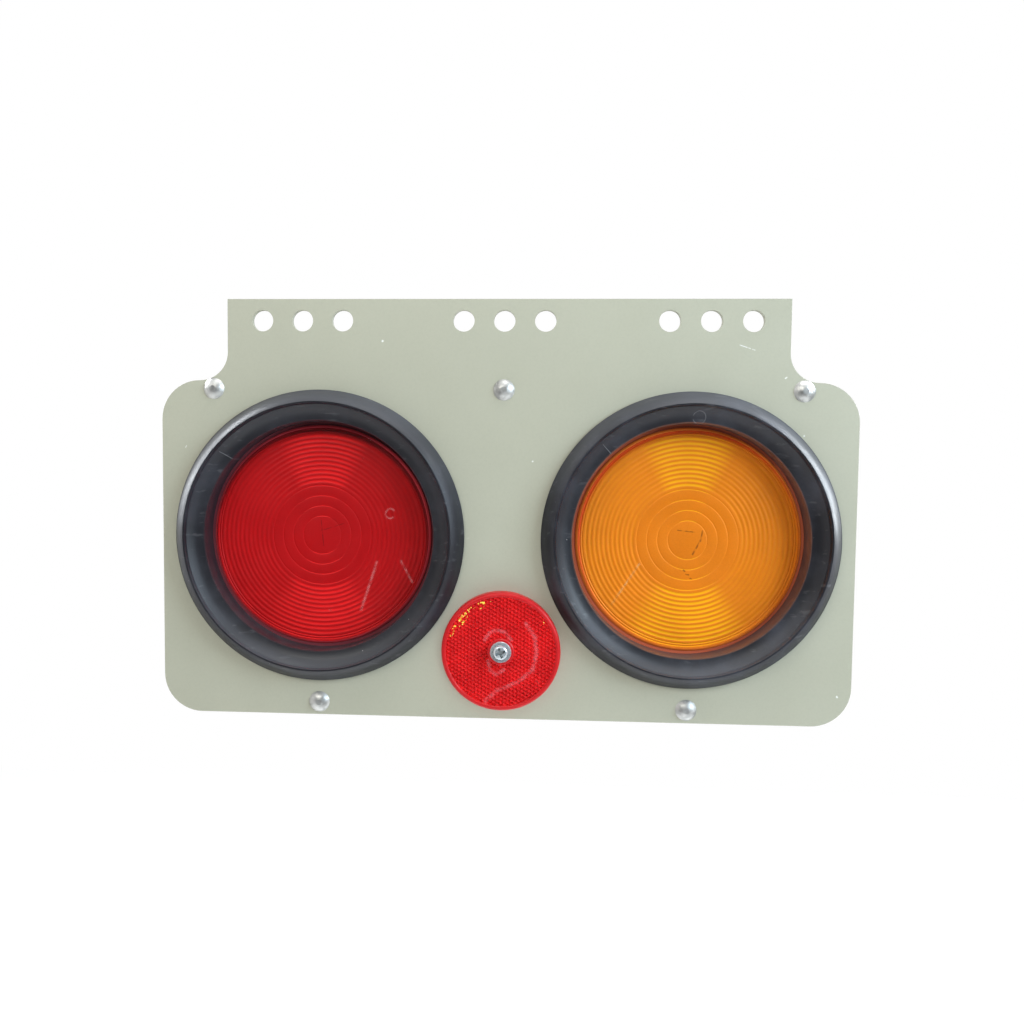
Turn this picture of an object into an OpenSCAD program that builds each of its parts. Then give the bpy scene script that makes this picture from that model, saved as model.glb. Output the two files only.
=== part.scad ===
// Rear light module for a trailer or truck: a stop lamp and a turn lamp in rubber
// grommets, a round reflex reflector and a riveted rear guard, all on one hanging plate.
// Millimetres. X runs along the bolt row, Z is up and the front faces -Y.
// The origin is the centre of the middle bolt hole, on the back face of the plate.
// Heights in the sections below are measured forward from the plate's front face.

/* [Plate] */
// Sheet thickness of the plate
plate_t = 3; // [2:0.1:5]
// Rise of the tab above the bolt row
tab_rise = 10.1; // [8:0.1:30]
// Side of the tab beyond the outermost bolt centre
tab_side = 16.9; // [10:0.1:24]
// Side of the plate beyond the lamp grommet
plate_side = 6.6; // [5:0.1:20]
// Foot of the plate below the lamp grommet
plate_foot = 16.8; // [16:0.1:40]
// Radius of the plate's outer corners
corner_r = 18.4; // [6:0.1:22]
// Radius of the hollow corner between tab and shoulder
notch_r = 13.4; // [4:0.1:14]

/* [Bolt holes] */
// Diameter of a bolt hole
bolt_d = 10; // [8:0.1:14]
// Pitch of the three holes in a group
bolt_pitch = 19.05; // [16:0.05:24]
// Distance from the middle group to an outer one
bolt_group_x = 95.25; // [80:0.05:104]

/* [Lamps] */
// Distance between the lamp centres
lamp_spacing = 174.6; // [160:0.1:196]
// Drop from the bolt row to the lamp centres
lamp_drop = 101.6; // [92:0.1:130]
// Outer diameter of the lens wall
lens_d = 106.4; // [98:0.1:110]
// Wall thickness of the lens
lens_wall = 1.5; // [1.2:0.1:2]
// Thickness of the lens face
lens_face_t = 2.6; // [1.8:0.1:3]
// Depth of the lens edge behind the plate's front face
lens_sink = 5.7; // [4:0.1:8]
// Crown of the lens face at its centre
lens_crown = 1.4; // [0.6:0.1:3]
// Rounding of the lens edge
lens_edge_r = 2.4; // [1.2:0.1:2.8]
// Depth of the lens wall, from its edge to its flange
lens_depth = 3.2; // [3:0.1:6]
// Thickness of the lens flange
lens_flange_t = 2; // [1.6:0.1:3]
// Step of the lamp flange beyond the lens wall
flange_step = 2.5; // [2.2:0.1:3]
// Thickness of the housing flange
housing_flange_t = 1.8; // [1.4:0.1:3]

/* [Lens rings] */
// Radius of the clear centre disc
ring_centre_r = 9.2; // [6:0.1:12]
// Pitch of the wide inner rings
wide_pitch = 4.9; // [3.5:0.1:6]
// Number of wide inner rings
wide_count = 3; // [1:1:4]
// Pitch of the fine outer rings
fine_pitch = 2.16; // [1.6:0.02:3]
// Plain border between the rings and the lens wall
ring_border = 6.1; // [5:0.1:12]
// Depth of a ring step
ring_step = 0.9; // [0.4:0.05:1.2]

/* [Lamp body] */
// Gap between the lens wall and the collar inside it
collar_gap = 0.3; // [0.2:0.05:0.6]
// Thickness of the collar that carries the reflector
collar_t = 1; // [0.8:0.1:1.6]
// Height of the collar above the joint with the lens
collar_h = 0.7; // [0.4:0.1:1.2]
// Sheet thickness of the reflector bowl
bowl_t = 1.2; // [0.8:0.1:1.8]
// Depth of the reflector bowl
bowl_depth = 18.5; // [14:0.1:22]
// Radius of the light opening at the bottom of the bowl
bowl_mouth_r = 9.5; // [7:0.1:12]
// Neck of the bowl, from its bottom to the board
bowl_neck = 2; // [1:0.1:4]
// Step from the lens wall in to the housing body
housing_step = 3; // [2.4:0.1:5]
// Wall and floor thickness of the housing
housing_t = 2; // [1.6:0.1:3]
// Space between the board and the housing floor
board_space = 2.9; // [2.2:0.1:5]
// Radius of the circuit board
board_r = 24; // [20:0.1:28]
// Thickness of the circuit board
board_t = 1.6; // [1:0.1:2.4]
// Side of the emitter package
emitter_w = 7; // [5:0.1:9]
// Radius of the emitter dome
emitter_r = 2.6; // [1.6:0.1:3.2]
// Thickness of the emitter package
emitter_t = 1; // [0.6:0.1:2]
// Diameter of the lead wires over the emitter
lead_d = 1; // [0.6:0.1:1.4]
// Height of the lead wires over the board
lead_h = 5.6; // [5:0.1:8]
// Thickness of the poured seal on the housing floor
seal_t = 1.8; // [1:0.1:2]

/* [Lamp socket] */
// Inner width of the plug recess
socket_w = 25; // [22:0.5:30]
// Inner height of the plug recess
socket_h = 13; // [10:0.5:16]
// Wall of the plug recess
socket_wall = 2; // [1.4:0.1:3]
// Depth of the plug recess
socket_depth = 12; // [10:0.5:16]
// Base thickness under the plug recess
socket_base = 2; // [1.5:0.1:3]
// Radius of a contact pin
pin_r = 1.9; // [1.4:0.1:2.2]
// Spacing of the contact pins
pin_pitch = 7.5; // [7:0.1:8.5]
// Pin tip below the mouth of the recess
pin_inset = 4.6; // [4.4:0.1:6]

/* [Grommets] */
// Open gap between the lens wall and the bore of the grommet
lens_room = 1.5; // [0.8:0.1:1.8]
// Height of the grommet's inner lip
lip_h = 3; // [2:0.1:4]
// Wall of the grommet inside the plate's cut-out
grommet_wall = 2.35; // [1.8:0.05:4]
// Width of the front brim beyond the neck
brim_w = 12.25; // [9:0.05:16]
// Thickness of the brim at its outer edge
brim_edge = 1.5; // [1:0.1:3]
// Height of the ridge
ridge_h = 8.5; // [6:0.1:11]
// Distance from the brim's outer edge in to the ridge
ridge_inset = 6; // [4:0.1:7]
// Width of the ridge bead
ridge_w = 1.9; // [1.2:0.1:3]
// Height of the ridge bead over its slopes
ridge_bead = 1.1; // [0.8:0.1:1.6]
// Width of the rear bead beyond the neck
bead_w = 3.4; // [2:0.1:5]
// Length of the rear collar behind the lamp flange
rear_collar = 5.2; // [3:0.1:8]

/* [Reflex reflector] */
// Diameter of the reflex reflector
reflex_d = 56; // [48:0.5:64]
// Thickness of the reflex reflector
reflex_t = 6.6; // [5:0.1:9]
// Face thickness of the reflex lens
reflex_face = 2.4; // [1.6:0.1:3]
// Wall thickness of the reflex lens
reflex_wall = 1.5; // [1:0.1:2.5]
// Width of the raised rim of the reflex lens
reflex_rim_w = 2.2; // [1.8:0.1:3.4]
// Thickness of the reflex backing disc
backing_t = 1.8; // [1:0.1:2.4]
// Gap between the reflex reflector and the grommets
reflex_gap = 4.7; // [1:0.1:6]
// Radius of the boss around the screw
reflex_boss_r = 5.4; // [4.5:0.1:7]
// Radius of the screw shank
screw_r = 2.4; // [2:0.1:3]
// Radius of the collar of the screw head
screw_head_r = 5; // [4.2:0.1:5.4]
// Thickness of the collar of the screw head
screw_collar_h = 0.9; // [0.6:0.1:1.2]
// Radius of the raised pan of the screw head
screw_pan_r = 3.4; // [3:0.1:3.8]
// Height of the screw head
screw_head_h = 2.9; // [2.2:0.1:3.6]
// Width across the flats of the nut
nut_w = 9.5; // [9:0.1:12]
// Height of the nut
nut_h = 5; // [4:0.1:7]
// Radius of the washer
washer_r = 6.2; // [5.4:0.1:8]
// Thickness of the washer
washer_t = 1.2; // [0.8:0.1:2]

/* [Rivets and guard] */
// Radius of a rivet shank
rivet_r = 2.38; // [2:0.01:2.6]
// Radius of a rivet head
rivet_head_r = 5; // [4:0.1:5.6]
// Height of a rivet head
rivet_head_h = 2.3; // [1.6:0.1:3]
// Radius of the formed tail of a rivet
rivet_tail_r = 3.8; // [3.2:0.1:4.4]
// Height of the formed tail of a rivet
rivet_tail_h = 1.6; // [1:0.1:2.4]
// Outer rivets in from the side of the plate
rivet_inset = 25.2; // [20:0.1:30]
// Rivet row below the shoulder of the plate
rivet_shoulder = 3.9; // [3.6:0.1:8]
// Rivet row above the foot of the plate
rivet_foot = 6.2; // [4:0.1:8]
// Rivet row from the guard's wall
rivet_wall = 6.5; // [5:0.1:9]
// Sheet thickness of the rear guard
guard_t = 1.5; // [1:0.1:2.5]
// Gap between the guard's upper wall and the grommets
guard_gap_top = 1.2; // [0.6:0.1:4]
// Gap between the guard's side wall and the grommets
guard_gap_side = 3.2; // [1:0.1:5]
// Guard flange in from the plate's edge
guard_inset = 1.4; // [0.8:0.1:2.5]
// Outer corner radius of the guard's walls
guard_corner_r = 14; // [8:0.5:20]
// Outer rounding between the guard's walls and floor
guard_edge_r = 5; // [3:0.1:7]
// Room for plugs and wiring behind the lamp sockets
plug_room = 12; // [8:0.5:25]
// Radius of the cable bore in the bush
bush_bore_r = 5.5; // [4:0.1:7]
// Rubber thickness between the cable bore and the guard
bush_wall = 3.4; // [2:0.1:5]
// Lip of the bush beyond the hole in the guard
bush_lip = 3; // [2:0.1:5]
// Thickness of each lip of the bush
bush_lip_t = 2.2; // [1.5:0.1:4]

/* [Hidden] */
$fn = 96;

// Running and seating clearances
fit_gap = 0.05;
neck_gap = 0.1;
lens_gap = 0.2;
shank_gap = 0.25;
// Overrun that carries a cut past the face it opens
past = 1;

// Radii of one lamp and its grommet, from the lens outwards
lens_r = lens_d / 2;
lens_in_r = lens_r - lens_wall;
flange_r = lens_r + flange_step;
grommet_bore_r = lens_r + lens_room;
groove_r = flange_r + lens_gap;
neck_r = grommet_bore_r + grommet_wall;
cutout_r = neck_r + neck_gap;
brim_r = neck_r + brim_w;
bead_r = neck_r + bead_w;
ridge_r = brim_r - ridge_inset;

// Heights of one lamp, measured forward from the plate's front face
lens_edge_z = -lens_sink;
lens_back_z = lens_edge_z - lens_depth;
joint_z = lens_back_z - lens_flange_t;
flange_back_z = joint_z - housing_flange_t;
collar_z = joint_z + collar_h;
bowl_rim_z = collar_z + bowl_t;
bowl_bottom_z = bowl_rim_z - bowl_depth;
board_z = bowl_bottom_z - bowl_neck;
board_back_z = board_z - board_t;
floor_z = board_back_z - board_space;
housing_back_z = floor_z - housing_t;
recess_z = housing_back_z - socket_base;
socket_z = recess_z - socket_depth;
pin_tip_z = socket_z + pin_inset;

// Radii inside the lamp
collar_r = lens_in_r - collar_gap;
collar_in_r = collar_r - collar_t;
bowl_rim_r = collar_in_r - 0.6;
bowl_ball_r = (bowl_rim_r * bowl_rim_r + bowl_depth * bowl_depth) / (2 * bowl_depth);
bowl_centre_z = bowl_bottom_z + bowl_ball_r;
housing_r = lens_r - housing_step;
housing_in_r = housing_r - housing_t;
post_r = 2.5;
post_place_r = board_r - 4;
seal_r = housing_in_r - 3.2;
pin_collar_r = pin_r + 0.9;
pin_collar_t = 0.8;

// Fresnel rings on the back of the lens face
ring_in_z = lens_edge_z - lens_face_t;
wide_end_r = ring_centre_r + wide_count * wide_pitch;
fine_count = floor((lens_in_r - ring_border - wide_end_r) / fine_pitch) + 1;
ring_radii = concat(
    [for (i = [0:wide_count]) ring_centre_r + i * wide_pitch],
    [for (i = [1:fine_count]) wide_end_r + i * fine_pitch]);

// Places on the plate
lamp_x = lamp_spacing / 2;
lamp_z = -lamp_drop;
plate_half = lamp_x + brim_r + plate_side;
tab_half = bolt_group_x + bolt_pitch + tab_side;
reflex_r = reflex_d / 2;
reflex_reach = brim_r + reflex_r + reflex_gap;
reflex_z = lamp_z - sqrt(max(0, reflex_reach ^ 2 - lamp_x ^ 2));
reflex_foot = 5;
bottom_z = min(lamp_z - brim_r - plate_foot, reflex_z - reflex_r - reflex_foot);
guard_top_z = lamp_z + bead_r + guard_gap_top + guard_t;
upper_rivet_z = guard_top_z + rivet_wall;
shoulder_z = upper_rivet_z + rivet_shoulder;
lower_rivet_z = bottom_z + rivet_foot;
guard_bottom_z = lower_rivet_z + rivet_wall + 0.5;
upper_rivet_x = plate_half - rivet_inset;
step_w = plate_half - tab_half;
notch_fit_r = min(notch_r, step_w * 0.42);
shoulder_r = min(corner_r, step_w - notch_fit_r);
rivet_places = [[-upper_rivet_x, upper_rivet_z], [0, upper_rivet_z], [upper_rivet_x, upper_rivet_z],
    [-lamp_x, lower_rivet_z], [lamp_x, lower_rivet_z]];

// Rear guard
guard_half = lamp_x + bead_r + guard_gap_side + guard_t;
guard_depth = plug_room - socket_z - plate_t + guard_t;
guard_flange_half = plate_half - guard_inset;
guard_flange_top = shoulder_z - 0.4;
guard_flange_bottom = bottom_z + guard_inset;
guard_flange_r = 18;

// Screw stack through the reflex reflector
screw_hole_r = screw_r + shank_gap;
washer_back_z = -plate_t - washer_t;
nut_back_z = washer_back_z - nut_h;
screw_tip_z = nut_back_z - 2;

// Cable bush
bush_r = bush_bore_r + bush_wall;
bush_hole_r = bush_r + neck_gap;
bush_lip_r = bush_hole_r + bush_lip;

// Puts a shape drawn on XY, with its height forward, on the plate at x and z
module on_plate(x = 0, z = 0) {
    translate([x, -plate_t, z]) rotate([90, 0, 0]) children();
}

// Rectangle with four arcs for corners
module round_rect(x0, y0, x1, y1, r) {
    translate([x0 + r, y0]) square([x1 - x0 - 2 * r, y1 - y0]);
    translate([x0, y0 + r]) square([x1 - x0, y1 - y0 - 2 * r]);
    for (x = [x0 + r, x1 - r], y = [y0 + r, y1 - r]) translate([x, y]) circle(r);
}

// Outline of the plate: a wide body with rounded corners and a narrower tab
module plate_outline() {
    translate([-plate_half, bottom_z + corner_r])
        square([2 * plate_half, shoulder_z - shoulder_r - bottom_z - corner_r]);
    translate([-plate_half + corner_r, bottom_z])
        square([2 * (plate_half - corner_r), corner_r + past]);
    for (s = [-1, 1])
        translate([s * (plate_half - corner_r), bottom_z + corner_r]) circle(corner_r);
    translate([-plate_half + shoulder_r, shoulder_z - shoulder_r - past])
        square([2 * (plate_half - shoulder_r), shoulder_r + past]);
    for (s = [-1, 1])
        translate([s * (plate_half - shoulder_r), shoulder_z - shoulder_r]) circle(shoulder_r);
    translate([-tab_half, shoulder_z - past])
        square([2 * tab_half, tab_rise - shoulder_z + past]);
    for (s = [-1, 1]) difference() {
        translate([s * tab_half - (s < 0 ? notch_fit_r : past), shoulder_z - past])
            square([notch_fit_r + past, notch_fit_r + past]);
        translate([s * (tab_half + notch_fit_r), shoulder_z + notch_fit_r]) circle(notch_fit_r);
    }
}

module mounting_plate() {
    color([0.72, 0.74, 0.68]) on_plate() translate([0, 0, -plate_t]) linear_extrude(plate_t)
        difference() {
            plate_outline();
            for (g = [-1:1], i = [-1:1])
                translate([g * bolt_group_x + i * bolt_pitch, 0]) circle(bolt_d / 2);
            for (s = [-1, 1]) translate([s * lamp_x, lamp_z]) circle(cutout_r);
            for (p = rivet_places) translate(p) circle(rivet_r + fit_gap);
            translate([0, reflex_z]) circle(screw_hole_r);
        }
}

// One rivet: low domed head in front, formed tail behind the guard's flange
module rivet() {
    grip = plate_t + guard_t;
    dome_r = (rivet_head_r ^ 2 + rivet_head_h ^ 2) / (2 * rivet_head_h);
    rotate_extrude() {
        intersection() {
            translate([0, rivet_head_h - dome_r]) circle(dome_r);
            square([rivet_head_r, rivet_head_h - 0.15]);
        }
        translate([0, -grip - fit_gap]) square([rivet_r, grip + past]);
        translate([0, -grip])
            polygon([[0, 0], [rivet_tail_r, 0], [rivet_tail_r, -rivet_tail_h * 0.5],
                [rivet_tail_r * 0.7, -rivet_tail_h], [0, -rivet_tail_h]]);
    }
}

module plate_rivets() {
    color([0.78, 0.78, 0.76]) for (p = rivet_places) on_plate(p[0], p[1]) rivet();
}

// Solid block with rounded upright corners and a rounded far edge, from height 0 up to h
module soft_block(x0, y0, x1, y1, h, r, e) {
    module edge_profile(w) {
        square([w, h - e]);
        square([w - e, h]);
        translate([w - e, h - e]) circle(e);
    }
    translate([x0 + r, y0 + r, 0]) cube([x1 - x0 - 2 * r, y1 - y0 - 2 * r, h]);
    for (c = [[x1 - r, y1 - r, 0], [x0 + r, y1 - r, 90], [x0 + r, y0 + r, 180], [x1 - r, y0 + r, 270]])
        translate([c[0], c[1], 0]) rotate(c[2]) rotate_extrude(angle = 90) intersection() {
            edge_profile(r);
            square([r, h]);
        }
    for (c = [[x1 - r, y0 + r, 0, y1 - y0], [x1 - r, y1 - r, 90, x1 - x0],
            [x0 + r, y1 - r, 180, y1 - y0], [x0 + r, y0 + r, 270, x1 - x0]])
        translate([c[0], c[1], 0]) rotate(c[2]) translate([0, c[3] - 2 * r, 0])
            rotate([90, 0, 0]) linear_extrude(c[3] - 2 * r) edge_profile(r);
}

// Rear guard: a pan of sheet steel with a flange that the rivets hold to the plate
module rear_guard() {
    inner_r = guard_corner_r - guard_t;
    inner_e = guard_edge_r - guard_t;
    color([0.70, 0.72, 0.66]) rotate([-90, 0, 0]) mirror([0, 1, 0]) difference() {
        union() {
            linear_extrude(guard_t) round_rect(-guard_flange_half, guard_flange_bottom,
                guard_flange_half, guard_flange_top, guard_flange_r);
            soft_block(-guard_half, guard_bottom_z, guard_half, guard_top_z, guard_depth,
                guard_corner_r, guard_edge_r);
        }
        translate([0, 0, -past]) soft_block(-guard_half + guard_t, guard_bottom_z + guard_t,
            guard_half - guard_t, guard_top_z - guard_t, guard_depth - guard_t + past,
            inner_r, inner_e);
        for (p = rivet_places) translate([p[0], p[1], -past])
            cylinder(r = rivet_r + fit_gap, h = guard_t + 2 * past);
        translate([0, lamp_z, guard_depth - guard_t - past])
            cylinder(r = bush_hole_r, h = guard_t + 2 * past);
    }
}

// Rubber bush that lines the cable hole in the guard
module cable_bush() {
    top = guard_t / 2 + bush_lip_t;
    color([0.10, 0.10, 0.11]) translate([0, guard_depth - guard_t / 2, lamp_z]) rotate([-90, 0, 0])
        rotate_extrude() polygon([[bush_bore_r, -top], [bush_lip_r - 0.8, -top],
            [bush_lip_r, -top + bush_lip_t / 2], [bush_lip_r, -guard_t / 2], [bush_r, -guard_t / 2],
            [bush_r, guard_t / 2], [bush_lip_r, guard_t / 2], [bush_lip_r, top - bush_lip_t / 2],
            [bush_lip_r - 0.8, top], [bush_bore_r, top]]);
}

// Rubber grommet: a brim with a ridge in front, a groove for the lamp, a bead behind the plate
module grommet() {
    ridge_foot = ridge_h - ridge_bead;
    back_z = flange_back_z - lens_gap - rear_collar;
    rear_bore_r = housing_r + lens_gap;
    crest = ridge_w / 2;
    color([0.13, 0.13, 0.14]) rotate_extrude() polygon([
        [grommet_bore_r, lip_h - 0.7], [grommet_bore_r + 0.2, lip_h - 0.2],
        [grommet_bore_r + 0.9, lip_h], [ridge_r - 4.4, ridge_foot - 3],
        [ridge_r - crest, ridge_foot - 0.7], [ridge_r - crest, ridge_h - 0.5],
        [ridge_r - crest + 0.15, ridge_h - 0.2], [ridge_r - crest + 0.5, ridge_h],
        [ridge_r + crest - 0.5, ridge_h], [ridge_r + crest - 0.15, ridge_h - 0.2],
        [ridge_r + crest, ridge_h - 0.5], [ridge_r + crest, ridge_foot],
        [brim_r - 0.4, brim_edge], [brim_r, brim_edge - 0.4], [brim_r, 0],
        [neck_r, 0], [neck_r, -plate_t], [bead_r - 0.6, -plate_t], [bead_r, -plate_t - 0.6],
        [bead_r, -plate_t - 4], [groove_r + 2.4, flange_back_z], [groove_r + 1.4, back_z],
        [rear_bore_r + 1, back_z], [rear_bore_r, back_z + 1],
        [rear_bore_r, flange_back_z - lens_gap / 2], [groove_r, flange_back_z - lens_gap / 2],
        [groove_r, lens_back_z + lens_gap / 2], [grommet_bore_r, lens_back_z + lens_gap / 2]]);
}

// Coloured lens: crowned face, ring steps on its back, side wall and flange
module lamp_lens(tint) {
    shoulder = lens_r - lens_edge_r;
    steps = len(ring_radii) - 1;
    color(tint) rotate_extrude() polygon(concat(
        [for (i = [0:8]) let (k = i / 8) [shoulder * k, lens_edge_z + lens_crown * (1 - k * k)]],
        [for (a = [15:15:90]) [shoulder + lens_edge_r * sin(a), lens_edge_z - lens_edge_r * (1 - cos(a))]],
        [[lens_r, lens_back_z], [flange_r, lens_back_z], [flange_r, joint_z], [lens_in_r, joint_z],
            [lens_in_r, ring_in_z]],
        [for (i = [0:steps], k = [0, 1]) [ring_radii[steps - i], ring_in_z + k * ring_step]],
        [[0, ring_in_z]]));
}

// Metallised bowl behind the lens, carried by the housing's collar
module reflector() {
    color([0.86, 0.86, 0.88]) rotate_extrude() {
        difference() {
            intersection() {
                translate([0, bowl_centre_z]) circle(bowl_ball_r + bowl_t, $fn = 180);
                translate([bowl_mouth_r, bowl_bottom_z - 2 * bowl_t])
                    square([collar_r - bowl_mouth_r, bowl_rim_z - bowl_bottom_z + 2 * bowl_t]);
            }
            translate([0, bowl_centre_z]) circle(bowl_ball_r, $fn = 180);
        }
        translate([bowl_rim_r, collar_z]) square([collar_r - bowl_rim_r, bowl_t]);
        translate([bowl_mouth_r, board_z]) square([bowl_t, bowl_neck + bowl_t / 2]);
    }
}

// Black housing: flange on the grommet's rear lip, cup, board posts and plug socket
module housing() {
    color([0.09, 0.09, 0.10]) difference() {
        union() {
            rotate_extrude() polygon([[0, floor_z], [housing_in_r - 1.6, floor_z],
                [housing_in_r, floor_z + 1.6], [housing_in_r, flange_back_z - 0.6],
                [collar_in_r, joint_z - 0.6], [collar_in_r, collar_z], [collar_r, collar_z],
                [collar_r, joint_z], [flange_r, joint_z], [flange_r, flange_back_z],
                [housing_r, flange_back_z], [housing_r, housing_back_z + 2.5],
                [housing_r - 2.5, housing_back_z], [0, housing_back_z]]);
            for (a = [45:90:315]) rotate(a) translate([post_place_r, 0, floor_z - fit_gap])
                cylinder(r = post_r, h = board_space + fit_gap);
            translate([-socket_w / 2 - socket_wall, -socket_h / 2 - socket_wall, socket_z])
                cube([socket_w + 2 * socket_wall, socket_h + 2 * socket_wall,
                    housing_back_z + fit_gap - socket_z]);
        }
        translate([-socket_w / 2, -socket_h / 2, socket_z - past])
            cube([socket_w, socket_h, socket_depth + past]);
        for (i = [-1:1]) translate([i * pin_pitch, 0, recess_z - past])
            cylinder(r = pin_r + fit_gap, h = floor_z - recess_z + 2 * past);
    }
}

// Round circuit board on the housing's posts
module board() {
    color([0.10, 0.30, 0.16]) translate([0, 0, board_back_z]) cylinder(r = board_r, h = board_t);
}

// Light emitter: square package with a domed top
module emitter() {
    color([0.92, 0.88, 0.62]) {
        translate([-emitter_w / 2, -emitter_w / 2, board_z]) cube([emitter_w, emitter_w, emitter_t]);
        translate([0, 0, board_z]) intersection() {
            translate([0, 0, emitter_t]) sphere(emitter_r);
            cylinder(r = emitter_r + past, h = emitter_t + emitter_r);
        }
    }
}

// One lead wire: up from the board at a, over to b and down to the board again
module lead(a, b) {
    run = norm(b - a);
    translate([a[0], a[1], board_z]) rotate(atan2(b[1] - a[1], b[0] - a[0])) {
        for (x = [0, run]) translate([x, 0, 0]) {
            cylinder(d = lead_d, h = lead_h);
            translate([0, 0, lead_h]) sphere(d = lead_d);
        }
        translate([0, 0, lead_h]) rotate([0, 90, 0]) cylinder(d = lead_d, h = run);
    }
}

module leads() {
    color([0.30, 0.30, 0.32]) {
        lead([-5.8, 6.2], [2.6, 5.4]);
        lead([6.2, 5.6], [4.4, -5.2]);
    }
}

// Three contact pins from the board through the floor into the plug recess
module terminals() {
    color([0.78, 0.64, 0.32]) for (i = [-1:1]) translate([i * pin_pitch, 0, 0]) {
        translate([0, 0, pin_tip_z + 0.6]) cylinder(r = pin_r, h = board_back_z - pin_tip_z - 0.6);
        translate([0, 0, pin_tip_z]) cylinder(r1 = pin_r - 0.6, r2 = pin_r, h = 0.6);
        translate([0, 0, floor_z]) cylinder(r = pin_collar_r, h = pin_collar_t);
    }
}

// Poured seal on the housing floor, around the posts and the pins
module seal() {
    color([0.12, 0.12, 0.13]) difference() {
        translate([0, 0, floor_z]) cylinder(r = seal_r, h = seal_t);
        for (a = [45:90:315]) rotate(a) translate([post_place_r, 0, floor_z - past])
            cylinder(r = post_r + fit_gap, h = seal_t + 2 * past);
        for (i = [-1:1]) translate([i * pin_pitch, 0, floor_z - past])
            cylinder(r = pin_collar_r + fit_gap, h = seal_t + 2 * past);
    }
}

// Red cup of the reflex reflector, with a boss for the screw
module reflex_lens() {
    color([0.80, 0.05, 0.06, 0.8]) on_plate(0, reflex_z) rotate_extrude() difference() {
        polygon([[screw_hole_r, 0], [reflex_r, 0], [reflex_r, reflex_t - 1.4],
            [reflex_r - 0.5, reflex_t - 0.4], [reflex_r - 1.4, reflex_t],
            [reflex_r - reflex_rim_w + 0.3, reflex_t], [reflex_r - reflex_rim_w, reflex_t - 0.4],
            [screw_head_r + 1.2, reflex_t - 0.4], [screw_head_r + 0.8, reflex_t],
            [screw_hole_r, reflex_t]]);
        translate([reflex_boss_r, backing_t - past])
            square([reflex_r - reflex_wall - reflex_boss_r, reflex_t - reflex_face - backing_t + past]);
        translate([0, -past]) square([reflex_r - reflex_wall, backing_t + past]);
    }
}

// Backing disc that closes the reflex reflector
module reflex_backing() {
    color([0.16, 0.16, 0.17]) on_plate(0, reflex_z) difference() {
        cylinder(r = reflex_r - reflex_wall - fit_gap, h = backing_t);
        translate([0, 0, -past]) cylinder(r = screw_hole_r, h = backing_t + 2 * past);
    }
}

// Machine screw with a cross recess in a pan head that stands on a collar
module reflex_screw() {
    slot_w = 1.1;
    slot_l = screw_pan_r * 1.45;
    slot_d = screw_head_h * 0.62;
    color([0.80, 0.82, 0.86]) on_plate(0, reflex_z) difference() {
        union() {
            rotate_extrude() {
                translate([0, reflex_t]) polygon([[0, 0], [screw_head_r, 0],
                    [screw_head_r, screw_collar_h * 0.55], [screw_head_r - 0.3, screw_collar_h],
                    [screw_pan_r, screw_collar_h], [screw_pan_r, screw_head_h * 0.62],
                    [screw_pan_r * 0.93, screw_head_h * 0.8], [screw_pan_r * 0.75, screw_head_h * 0.93],
                    [screw_pan_r * 0.45, screw_head_h], [0, screw_head_h]]);
                translate([0, screw_tip_z + 0.6]) square([screw_r, reflex_t + past - screw_tip_z - 0.6]);
                translate([0, screw_tip_z])
                    polygon([[0, 0], [screw_r - 0.6, 0], [screw_r, 0.6], [0, 0.6]]);
            }
        }
        for (a = [0, 90]) rotate(a + 20)
            translate([-slot_l / 2, -slot_w / 2, reflex_t + screw_head_h - slot_d])
                cube([slot_l, slot_w, slot_d + past]);
    }
}

// Flat washer under the nut
module reflex_washer() {
    color([0.76, 0.77, 0.80]) on_plate(0, reflex_z) translate([0, 0, washer_back_z]) difference() {
        cylinder(r = washer_r, h = washer_t);
        translate([0, 0, -past]) cylinder(r = screw_hole_r, h = washer_t + 2 * past);
    }
}

// Locking nut: hexagon with a round collar
module reflex_nut() {
    hex_h = nut_h * 0.7;
    color([0.74, 0.75, 0.78]) on_plate(0, reflex_z) translate([0, 0, nut_back_z]) difference() {
        union() {
            translate([0, 0, nut_h - hex_h]) cylinder(r = nut_w / sqrt(3), h = hex_h, $fn = 6);
            cylinder(r = nut_w / 2 - 0.6, h = nut_h);
        }
        translate([0, 0, -past]) cylinder(r = screw_r + fit_gap, h = nut_h + 2 * past);
    }
}

// Stop lamp on the left, seen from the front, and turn lamp on the right
module stop_place() { on_plate(-lamp_x, lamp_z) children(); }
module turn_place() { on_plate(lamp_x, lamp_z) children(); }

mounting_plate();
rear_guard();
plate_rivets();
cable_bush();
stop_place() grommet();  // stop_grommet
stop_place() lamp_lens([0.70, 0.04, 0.05, 0.8]);  // stop_lens
stop_place() reflector();  // stop_reflector
stop_place() housing();  // stop_housing
stop_place() board();  // stop_board
stop_place() emitter();  // stop_emitter
stop_place() leads();  // stop_leads
stop_place() terminals();  // stop_terminals
stop_place() seal();  // stop_seal
turn_place() grommet();  // turn_grommet
turn_place() lamp_lens([0.95, 0.50, 0.06, 0.8]);  // turn_lens
turn_place() reflector();  // turn_reflector
turn_place() housing();  // turn_housing
turn_place() board();  // turn_board
turn_place() emitter();  // turn_emitter
turn_place() leads();  // turn_leads
turn_place() terminals();  // turn_terminals
turn_place() seal();  // turn_seal
reflex_lens();
reflex_backing();
reflex_screw();
reflex_washer();
reflex_nut();
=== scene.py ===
"""Looks of a trailer light module: a painted hanging plate with a red and an amber lamp.

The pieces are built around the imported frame, in metres, in the frame's own axes: X runs
along the bolt row, Z is up and the front faces -Y. Sizes in the classes are millimetres.
"""

import logging
import math
from dataclasses import dataclass, field
from enum import Enum
from typing import Sequence, Union

import bmesh
import bpy
from mathutils import Matrix, Vector


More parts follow.
